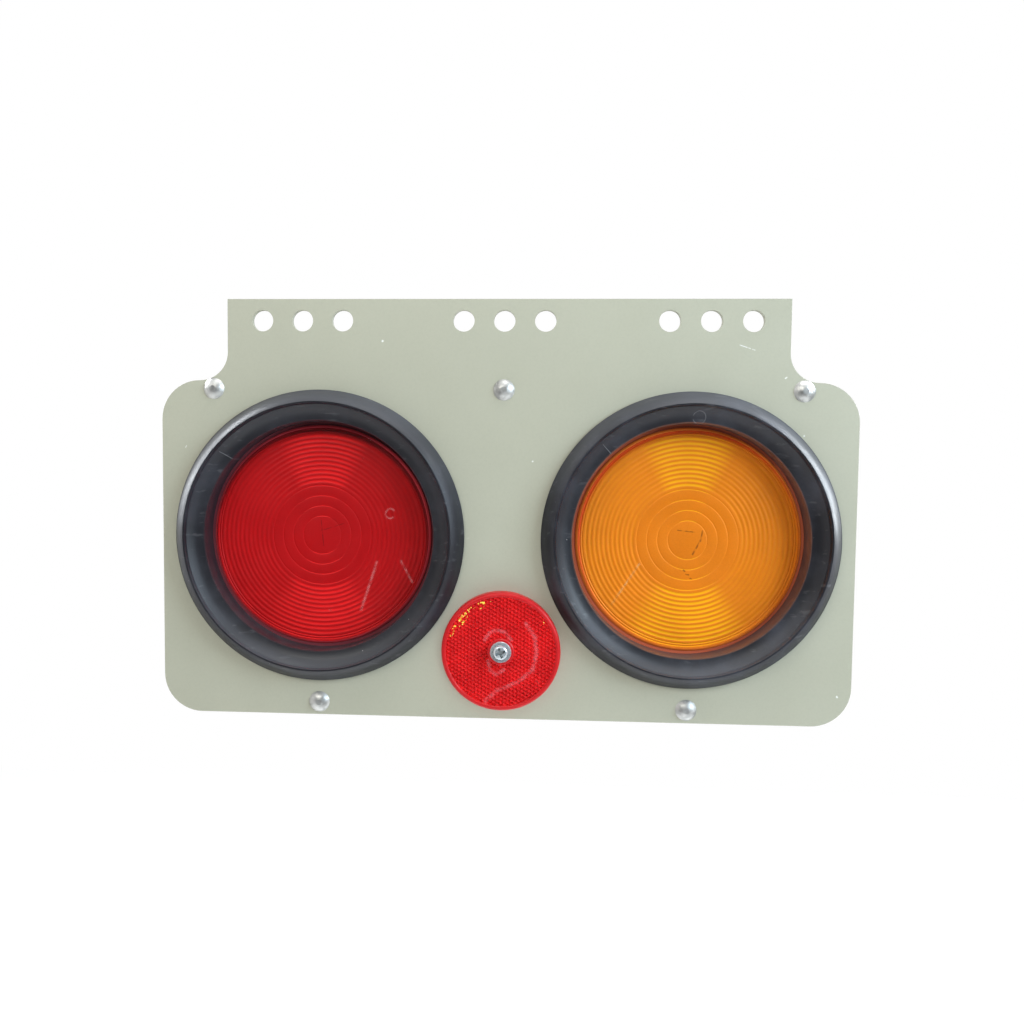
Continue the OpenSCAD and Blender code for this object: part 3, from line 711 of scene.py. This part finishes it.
@dataclass
class LampLens:
    """Coloured lens: a clear crowned face over a back with a rounded groove at each ring."""

    side: Side
    centre: Point
    skin: ClearPlastic
    back: RingPlastic
    outer_r: float = 53.2
    wall: float = 1.5
    edge_h: float = -5.7
    crown: float = 1.4
    edge: float = 2.4
    land_h: float = -7.4
    foot_h: float = -8.9
    joint_h: float = -10.9
    flange_r: float = 55.7
    wide_rings: tuple[float, ...] = (9.2, 14.1, 19.0, 23.9)
    wide_half: float = 0.45
    wide_dip: float = 0.14
    fine_pitch: float = 2.16
    fine_count: int = 11
    fine_dip: float = 0.20
    rim_rings: tuple[float, ...] = (49.6, 50.7)
    rim_half: float = 0.4
    rim_dip: float = 0.2
    clear_r: float = 51.7

    def rings(self) -> list[tuple[float, float, float]]:
        """Returns radius, half width and depth of each groove, from the centre outwards."""
        wide = [(r, self.wide_half, self.wide_dip) for r in self.wide_rings]
        last = self.wide_rings[-1]
        fine = [(last + self.fine_pitch * i, self.fine_pitch / 2, self.fine_dip)
                for i in range(1, self.fine_count + 1)]
        return wide + fine + [(r, self.rim_half, self.rim_dip) for r in self.rim_rings]

    def relief(self) -> list[Point]:
        """Returns the profile of the back, from the wall to the centre."""
        points = []
        for radius, half, dip in reversed(self.rings()):
            for k in range(8, -9, -2):
                share = k / 8
                sunk = dip * 0.5 * (1.0 + math.cos(math.pi * share))
                points.append((radius + half * share, self.land_h - sunk))
        return points

    def build(self) -> None:
        """Builds the lens as one closed shell."""
        shoulder = self.outer_r - self.edge
        inner_r = self.outer_r - self.wall
        face = [(shoulder * k / 12, self.edge_h + self.crown * (1 - (k / 12) ** 2))
                for k in range(13)]
        rim = [(shoulder + self.edge * math.sin(a), self.edge_h - self.edge * (1 - math.cos(a)))
               for a in (math.radians(11.25 * i) for i in range(1, 9))]
        wall = [(self.outer_r, self.foot_h), (self.flange_r, self.foot_h),
                (self.flange_r, self.joint_h), (inner_r, self.joint_h), (inner_r, self.land_h)]
        profile = face + rim + wall + self.relief() + [(0.0, self.land_h)]
        bm = bmesh.new()
        Turning(self.centre, profile, closed=False, steps=224).add_to(bm)
        self.mark_back(bm)
        name = self.side.value + "_lens"
        lens = new_piece(self.side.value + "_clear_lens", bm, [self.skin.build(), self.back.build()],
                         [name], 24.0)
        lens.visible_shadow = False

    def mark_back(self, bm: bmesh.types.BMesh) -> None:
        """Gives all faces but the clear front the back's material.

        Args:
            bm: the lens.
        """
        cx, cz = self.centre
        for poly in bm.faces:
            middle = poly.calc_center_median() / MM
            sunk = PLATE_FRONT - middle.y < self.land_h + 0.01
            if sunk or math.hypot(middle.x - cx, middle.z - cz) > self.clear_r:
                poly.material_index = 1


@dataclass
class LampInside:
    """What shows behind a lens, and the lamp's body behind that."""

    side: Side
    centre: Point
    rim_r: float = 49.8
    collar_r: float = 51.4
    mouth_r: float = 9.5
    rim_h: float = -9.0
    floor_h: float = -27.5
    sheet: float = 1.2

    def bowl(self) -> list[Point]:
        """Returns the profile of the bowl's inner and outer face."""
        depth = self.rim_h - self.floor_h
        ball = (self.rim_r ** 2 + depth ** 2) / (2 * depth)
        middle = self.floor_h + ball
        rs = [self.mouth_r + (self.rim_r - self.mouth_r) * k / 24 for k in range(25)]
        inner = [(r, middle - math.sqrt(ball ** 2 - r ** 2)) for r in rs]
        outer = [(r, middle - math.sqrt((ball + self.sheet) ** 2 - r ** 2)) for r in reversed(rs)]
        outer[0] = (self.rim_r, self.rim_h - self.sheet)
        return inner + [(self.collar_r, self.rim_h), (self.collar_r, self.rim_h - self.sheet)] + outer

    def build(self) -> None:
        """Builds the bowl and dresses the nodes of the lamp's body."""
        prefix = self.side.value
        bm = bmesh.new()
        Turning(self.centre, self.bowl()).add_to(bm)
        new_piece(prefix + "_bowl", bm, [bowl_metal().build()],
                  [prefix + "_reflector"], 40.0)
        finishes = {
            "_housing": Moulded("housing_plastic", (0.022, 0.022, 0.024), (0.034, 0.034, 0.037), 0.48),
            "_board": Laminate("board_laminate"),
            "_emitter": Moulded("emitter_resin", (0.80, 0.66, 0.25), (0.86, 0.74, 0.34), 0.2, 0.004, 0.6),
            "_leads": Metal("lead_wire", (0.20, 0.20, 0.21), (0.10, 0.10, 0.11), 0.35, 0.55),
            "_terminals": Metal("terminal_brass", (0.75, 0.56, 0.24), (0.50, 0.36, 0.16), 0.22, 0.42),
            "_seal": Moulded("seal_resin", (0.012, 0.012, 0.014), (0.022, 0.022, 0.024), 0.3, 0.03)}
        for part, finish in finishes.items():
            dress(prefix + part, finish.build())


@dataclass
class ReflexReflector:
    """Round reflex reflector: smooth rim, a field of cube corners and its screw."""

    centre: Point
    outer_r: float = 28.0
    wall: float = 1.5
    height: float = 6.6
    hole_r: float = 2.65
    rim_w: float = 2.2
    pitch: float = 1.1
    face_t: float = 1.0

    def cup(self) -> bmesh.types.BMesh:
        """Returns the raised rim with its wall, and the boss around the screw."""
        r, h = self.outer_r, self.height
        inner = r - self.rim_w
        rim = [(r - self.wall, 0.0), (r, 0.0), (r, h - 1.4), (r - 0.15, h - 0.8), (r - 0.5, h - 0.35),
               (r - 0.9, h - 0.1), (r - 1.3, h), (r - 1.7, h), (r - 2.0, h - 0.15), (inner, h - 0.4),
               (inner, h - 2.2), (r - self.wall, h - 2.2)]
        boss = [(self.hole_r, 0.0), (5.4, 0.0), (5.4, h - 1.9), (6.3, h - 1.9), (6.3, h - 0.4),
                (5.8, h), (self.hole_r, h)]
        bm = bmesh.new()
        for profile in (rim, boss):
            Turning(self.centre, profile, steps=128).add_to(bm)
        return bm

    def prisms(self) -> bmesh.types.BMesh:
        """Returns the face whose back is a field of cube corners.

        Returns:
            The face, cut round and open around the boss.
        """
        s, span = self.pitch, 56
        cx, cz = self.centre
        bm = bmesh.new()
        bmesh.ops.create_grid(bm, x_segments=span, y_segments=span, size=0.5)
        step = s * math.sqrt(0.5)
        top = self.height - 0.4
        for vert in bm.verts:
            i = round((vert.co.x + 0.5) * span)
            j = round((vert.co.y + 0.5) * span)
            u, v = i - span / 2, j - span / 2
            depth = top - self.face_t - ((i - j) % 3) * step
            vert.co = ((cx + s * (u + v / 2)) * MM, (PLATE_FRONT - depth) * MM,
                       (cz + s * v * math.sqrt(0.75)) * MM)
        for poly in bm.faces[:]:
            corners = sorted(poly.verts, key=lambda v: v.co.x - v.co.z * 1e-3)
            low = min(poly.verts, key=lambda v: (v.co.z, v.co.x))
            opposite = max(poly.verts, key=lambda v: (v.co.z, v.co.x))
            ends = [v for v in corners if v not in (low, opposite)]
            bmesh.utils.face_split(poly, ends[0], ends[1])
        grown = bmesh.ops.extrude_face_region(bm, geom=bm.faces[:])
        for vert in (g for g in grown["geom"] if isinstance(g, bmesh.types.BMVert)):
            vert.co.y = (PLATE_FRONT - top) * MM
        bmesh.ops.recalc_face_normals(bm, faces=bm.faces[:])
        ring = bmesh.new()
        inner, outer = 6.35, self.outer_r - self.rim_w - 0.05
        Turning(self.centre, [(inner, 0.5), (outer, 0.5), (outer, 9.0), (inner, 9.0)],
                steps=128).add_to(ring)
        field = self.common(bm, ring)
        field.normal_update()
        for poly in field.faces:
            if poly.normal.y > -0.3:
                poly.material_index = 1
        return field

    @staticmethod
    def common(first: bmesh.types.BMesh, second: bmesh.types.BMesh) -> bmesh.types.BMesh:
        """Returns the space that two closed meshes share, and frees both."""
        objects = []
        for name, bm in (("field", first), ("ring", second)):
            mesh = bpy.data.meshes.new(name)
            bm.to_mesh(mesh)
            bm.free()
            piece = bpy.data.objects.new(name, mesh)
            bpy.context.scene.collection.objects.link(piece)
            objects.append(piece)
        cut = objects[0].modifiers.new("cut", "BOOLEAN")
        cut.operation, cut.solver, cut.object = "INTERSECT", "EXACT", objects[1]
        shape = objects[0].evaluated_get(bpy.context.evaluated_depsgraph_get())
        result = bmesh.new()
        result.from_mesh(shape.to_mesh())
        shape.to_mesh_clear()
        for piece in objects:
            mesh = piece.data
            bpy.data.objects.remove(piece)
            bpy.data.meshes.remove(mesh)
        return result

    def build(self) -> None:
        """Builds the cup and its prisms and dresses the fastener."""
        smear = ((11.8, -140.8), (16.0, -147.2), (16.7, -155.4), (15.0, -162.5), (8.1, -168.6),
                 (-1.3, -172.4), (-7.1, -177.9))
        over_screw = ((-7.4, -148.8), (-5.4, -145.4), (-2.2, -144.0), (1.6, -145.0), (4.9, -148.6))
        under_screw = ((-5.8, -158.9), (-5.0, -163.0), (-1.9, -165.3), (1.5, -162.8))
        marks = chain(smear, 3.2) + chain(over_screw, 2.8) + chain(under_screw, 2.8)
        skin = ClearPlastic("reflex_skin", (1.0, 0.80, 0.78),
                            strokes=marks + (((16.8, -167.2), (18.0, -169.0), 0.5),),
                            haze=(0.76, 0.26, 0.29), haze_share=0.24)
        rim = PrismPlastic("reflex_rim_plastic", self.centre, (0.56, 0.011, 0.014),
                           (0.50, 0.009, 0.012), painted_glint_arcs=(), rough=(0.30, 0.42), ior=1.33)
        new_piece("reflex_cup", self.cup(), [rim.build()],
                  ["reflex_lens"]).visible_shadow = False
        behind = PrismPlastic("reflex_prism_plastic", self.centre)
        new_piece("reflex_prisms", self.prisms(), [skin.build(), behind.build()],
                  smooth_angle=1.0).visible_shadow = False
        dress("reflex_backing", Moulded("backing_plastic", (0.30, 0.02, 0.02), (0.22, 0.02, 0.02)).build())
        steel = Metal("screw_steel", (0.58, 0.63, 0.65), (0.46, 0.50, 0.53), 0.22, 0.34,
                      metallic=0.6)
        dress("reflex_screw", steel.build())
        zinc = Metal("nut_steel", (0.66, 0.67, 0.70), (0.48, 0.49, 0.52), 0.28, 0.48)
        dress("reflex_nut", zinc.build())
        dress("reflex_washer", Metal("washer_steel", (0.68, 0.69, 0.71), (0.52, 0.52, 0.54),
                                     0.30, 0.50).build())


@dataclass
class PlateRivets:
    """The five domed rivets."""

    finish: Metal = Metal("rivet_metal", (0.54, 0.54, 0.52), (0.30, 0.30, 0.29), 0.32, 0.50,
                          metallic=0.7)

    def build(self) -> None:
        """Dresses the rivets."""
        dress("plate_rivets", self.finish.build())


@dataclass
class RearGuard:
    """The guard over the sockets, with its rubber bush."""

    finish: Paint = Paint("guard_paint", (0.465, 0.490, 0.400), (0.430, 0.455, 0.372))

    def build(self) -> None:
        """Dresses the guard and its bush."""
        dress("rear_guard", self.finish.build())
        dress("cable_bush", Rubber("bush_rubber", share=0.25).build())


@dataclass
class PhotoCamera:
    """Camera at the viewing angle of the photograph. Lengths are millimetres."""

    place: tuple[float, float, float] = (15.288, -439.036, -65.721)
    pan: float = 0.0580
    tilt: float = 0.0580
    roll: float = 0.0130
    focal_px: float = 928.09
    centre_px: Point = (481.235, 515.921)
    frame_px: float = 1024.0
    sensor: float = 36.0

    def build(self) -> None:
        """Adds the camera and makes it the scene's own."""
        data = bpy.data.cameras.new("photo_camera")
        data.sensor_fit, data.sensor_width = "HORIZONTAL", self.sensor
        data.lens = self.focal_px * self.sensor / self.frame_px
        data.shift_x = (self.frame_px / 2 - self.centre_px[0]) / self.frame_px
        data.shift_y = (self.centre_px[1] - self.frame_px / 2) / self.frame_px
        data.clip_start, data.clip_end = 0.01, 50.0
        turn = (Matrix.Rotation(self.roll, 3, "Z") @ Matrix.Rotation(self.pan, 3, "Y")
                @ Matrix.Rotation(self.tilt, 3, "X"))
        look = Matrix(((1, 0, 0), (0, 0, -1), (0, 1, 0)))
        flip = Matrix(((1, 0, 0), (0, -1, 0), (0, 0, -1)))
        camera = bpy.data.objects.new("photo_camera", data)
        bpy.context.scene.collection.objects.link(camera)
        camera.matrix_world = (Matrix.Translation(Vector(self.place) * MM)
                               @ (flip @ turn @ look).transposed().to_4x4())
        bpy.context.scene.camera = camera


def white_rays(tree: bpy.types.NodeTree) -> bpy.types.NodeSocket:
    """Returns 1 for what the camera, metal and glass show of the room, and 0 for its light."""
    rays = tree.nodes.new("ShaderNodeLightPath")
    shown = rays.outputs["Is Camera Ray"]
    for kind in ("Is Glossy Ray", "Is Transmission Ray"):
        larger = tree.nodes.new("ShaderNodeMath")
        larger.operation = "MAXIMUM"
        tree.links.new(shown, larger.inputs[0])
        tree.links.new(rays.outputs[kind], larger.inputs[1])
        shown = larger.outputs[0]
    return shown


@dataclass
class SoftBox:
    """One square or oblong studio lamp, aimed at the module."""

    name: str
    place: tuple[float, float, float]
    size: tuple[float, float]
    watts: float
    colour: Colour = (1.0, 1.0, 1.0)
    target: tuple[float, float, float] = (0.0, 0.0, -0.09)

    def build(self) -> None:
        """Adds the lamp."""
        data = bpy.data.lights.new(self.name, "AREA")
        data.shape, data.size, data.size_y = "RECTANGLE", self.size[0], self.size[1]
        data.energy, data.color = self.watts, self.colour
        lamp = bpy.data.objects.new(self.name, data)
        lamp.visible_transmission = False
        bpy.context.scene.collection.objects.link(lamp)
        away = Vector(self.place) - Vector(self.target)
        lamp.matrix_world = (Matrix.Translation(self.place)
                             @ away.to_track_quat("Z", "Y").to_matrix().to_4x4())


@dataclass
class Studio:
    """Plain pale room: white behind, soft lamps and a pale floor well below the module."""

    floor_z: float = -1.1
    floor_half: float = 2.5
    card_size: float = 1.7
    card_place: tuple[float, float, float] = (0.0, -1.4, -0.35)
    flag_half: float = 0.26
    flag_places: tuple[tuple[float, float, float], ...] = ((0.19, 0.27, -0.05), (-0.19, 0.27, -0.05))
    lamps: tuple[SoftBox, ...] = (
        SoftBox("key_lamp", (-0.35, -0.90, 0.50), (0.9, 0.2), 4.2, (1.0, 0.985, 0.93)),
        SoftBox("top_lamp", (0.20, -0.35, 1.10), (0.9, 0.45), 4.6),
        SoftBox("window_lamp", (0.80, -0.48, 0.24), (0.5, 0.5), 9.0, (0.70, 0.86, 1.0)),
        SoftBox("right_lamp", (0.95, 0.17, 0.30), (0.3, 0.8), 25.0, (0.88, 0.95, 1.0)),
        SoftBox("left_lamp", (-0.85, 0.17, 0.34), (0.3, 0.7), 20.0, (0.92, 0.96, 1.0)))

    def world(self) -> None:
        """Sets a white surround that is dimmer in front of the module."""
        world = bpy.data.worlds.new("pale_room")
        bpy.context.scene.world = world
        world.use_nodes = True
        tree = world.node_tree
        tree.nodes.clear()
        where = tree.nodes.new("ShaderNodeTexCoord")
        parts = tree.nodes.new("ShaderNodeSeparateXYZ")
        tree.links.new(where.outputs["Generated"], parts.inputs[0])
        front = tree.nodes.new("ShaderNodeMath")
        front.operation = "MULTIPLY"
        front.inputs[1].default_value = -1.0
        tree.links.new(parts.outputs["Y"], front.inputs[0])
        ramp = tree.nodes.new("ShaderNodeValToRGB")
        stops = ((0.0, 1.0), (0.35, 0.95), (0.75, 0.62), (0.93, 0.30), (1.0, 0.22))
        for place, grey in stops[1:-1]:
            ramp.color_ramp.elements.new(place).color = solid((grey, grey, grey))
        for index, (place, grey) in ((0, stops[0]), (len(stops) - 1, stops[-1])):
            ramp.color_ramp.elements[index].position = place
            ramp.color_ramp.elements[index].color = solid((grey, grey, grey))
        tree.links.new(front.outputs[0], ramp.inputs[0])
        room = tree.nodes.new("ShaderNodeBackground")
        tree.links.new(ramp.outputs[0], room.inputs["Color"])
        room.inputs["Strength"].default_value = 0.76
        white = tree.nodes.new("ShaderNodeBackground")
        white.inputs["Color"].default_value = solid((1.0, 1.0, 1.0))
        mix = tree.nodes.new("ShaderNodeMixShader")
        output = tree.nodes.new("ShaderNodeOutputWorld")
        tree.links.new(white_rays(tree), mix.inputs[0])
        tree.links.new(room.outputs[0], mix.inputs[1])
        tree.links.new(white.outputs[0], mix.inputs[2])
        tree.links.new(mix.outputs[0], output.inputs["Surface"])

    def sheet(self, name: str, size: float, place: Matrix,
              material: bpy.types.Material) -> bpy.types.Object:
        """Adds a flat square to the room.

        Args:
            name: its name.
            size: half its side, in metres.
            place: where it lies and how it is turned.
            material: its finish.

        Returns:
            The square.
        """
        bm = bmesh.new()
        bmesh.ops.create_grid(bm, x_segments=1, y_segments=1, size=size, matrix=place)
        mesh = bpy.data.meshes.new(name)
        bm.to_mesh(mesh)
        bm.free()
        mesh.materials.append(material)
        piece = bpy.data.objects.new(name, mesh)
        bpy.context.scene.collection.objects.link(piece)
        return piece

    def card(self) -> None:
        """Hangs a dark card in front, which only reflections show, as a photographer would."""
        g = Graph("card_grey")
        grey = g.node("BsdfDiffuse", {"Color": solid((0.05, 0.05, 0.05))}).outputs[0]
        upright = Matrix.Translation(self.card_place) @ Matrix.Rotation(math.pi / 2, 4, "X")
        piece = self.sheet("dark_card", self.card_size, upright, g.done(grey))
        piece.visible_camera = piece.visible_diffuse = piece.visible_shadow = False

    def flags(self) -> None:
        """Stands a black flag on each side, which keeps the edge lamps off the module's back."""
        g = Graph("flag_black")
        black = g.done(g.node("BsdfDiffuse", {"Color": solid((0.02, 0.02, 0.02))}).outputs[0])
        for index, place in enumerate(self.flag_places):
            upright = Matrix.Translation(place) @ Matrix.Rotation(math.pi / 2, 4, "Y")
            piece = self.sheet(f"flag_{index}", self.flag_half, upright, black)
            piece.visible_camera = piece.visible_diffuse = False
            piece.visible_glossy = piece.visible_transmission = False

    def floor(self) -> None:
        """Adds the floor, which shows as white with a soft shadow."""
        g = Graph("floor_white")
        lit = g.node("BsdfDiffuse", {"Color": solid((0.86, 0.86, 0.86))}).outputs[0]
        glow = g.node("Emission", {"Color": solid((1.0, 1.0, 1.0)), "Strength": 0.35}).outputs[0]
        both = g.node("AddShader", {0: lit, 1: glow}).outputs[0]
        shown = g.node("MixShader", {0: white_rays(g.tree), 1: lit, 2: both}).outputs[0]
        self.sheet("floor", self.floor_half, Matrix.Translation((0.0, 0.0, self.floor_z)), g.done(shown))

    def build(self) -> None:
        """Builds the room and its lamps."""
        self.world()
        self.floor()
        self.card()
        self.flags()
        for lamp in self.lamps:
            lamp.build()
        bpy.context.scene.view_settings.view_transform = "Standard"


def axis_of(node: str) -> Point:
    """Returns X and Z of a round node's axis, in millimetres."""
    low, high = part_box(node)
    return ((low.x + high.x) / 2 / MM, (low.z + high.z) / 2 / MM)


def lens_finish(side: Side, centre: Point) -> tuple[ClearPlastic, RingPlastic]:
    """Returns the finishes of a lens: its clear skin and its back.

    Args:
        side: which lamp.
        centre: X and Z of the lamp's axis, in millimetres.
    """
    if side is Side.STOP:
        skin = ClearPlastic(
            "stop_lens_skin", (1.0, 0.22, 0.22),
            strokes=(((-60.4, -114.2), (-68.1, -137.6), 2.0), ((-48.8, -113.5), (-43.4, -123.6), 1.8),
                     ((-83.8, -137.5), (-82.8, -138.3), 0.8), ((-134.9, -99.4), (-134.7, -99.2), 1.0),
                     ((-67.4, -64.9), (-67.2, -64.7), 0.8)),
            arcs=(((-54.0, -90.8), 2.3, 1.3, 20.0, 330.0),))
        back = RingPlastic(
            "stop_lens_back", centre, (0.48, 0.010, 0.017), (0.88, 0.036, 0.040),
            (0.60, 0.050, 0.066), (0.15, 0.008, 0.015), (-0.6, -1.7), gap_shade=(0.22, 0.040, 0.052),
            strokes=(((-87.9, -94.5), (-86.6, -107.6), 0.7), ((-87.9, -99.6), (-76.6, -95.8), 0.5)))
        return skin, back
    skin = ClearPlastic(
        "turn_lens_skin", (1.0, 0.70, 0.26), strokes=(((64.7, -113.2), (52.3, -132.5), 1.6),),
        haze=(1.0, 0.72, 0.30))
    back = RingPlastic(
        "turn_lens_back", centre, (0.74, 0.275, 0.020), (0.93, 0.60, 0.008), (1.0, 0.26, 0.038),
        (0.62, 0.085, 0.020), (0.8, -1.2), gap_shade=(0.58, 0.13, 0.06), dark=(0.10, 0.03, 0.01),
        strokes=(((82.6, -97.0), (90.6, -97.8), 0.8), ((94.3, -97.3), (93.5, -101.6), 1.2),
                 ((93.5, -101.6), (89.9, -108.3), 1.3), ((85.8, -116.0), (86.4, -116.4), 1.2),
                 ((86.8, -117.9), (88.2, -118.1), 1.0), ((89.0, -119.8), (89.6, -119.9), 1.0)))
    return skin, back


def rubber_finish(side: Side, centre: Point) -> Rubber:
    """Returns the rubber of a grommet, with its moulded ticks and the painted glow of its lens's light."""
    if side is Side.STOP:
        return Rubber("stop_grommet_rubber", centre=centre, glow=(0.035, 0.018, 0.023),
                      ticks=(((-133.6, -62.0), (-128.0, -65.5), 0.5),))
    return Rubber("turn_grommet_rubber", share=0.85, centre=centre, glow=(0.135, 0.062, 0.045),
                  ticks=(((46.1, -57.1), (50.3, -61.6), 0.5),), ring=((89.9, -44.3), 2.9, 0.5))


def main() -> None:
    """Builds the module and its room."""
    logging.basicConfig(level=logging.INFO, format="%(name)s: %(message)s")
    PhotoCamera().build()
    Studio().build()
    MountingPlate().build()
    RearGuard().build()
    PlateRivets().build()
    for side in Side:
        centre = axis_of(side.value + "_lens")
        LampGrommet(side, centre, rubber_finish(side, centre)).build()
        LampLens(side, centre, *lens_finish(side, centre)).build()
        LampInside(side, centre).build()
    ReflexReflector(axis_of("reflex_lens")).build()


if __name__ == "__main__":
    main()
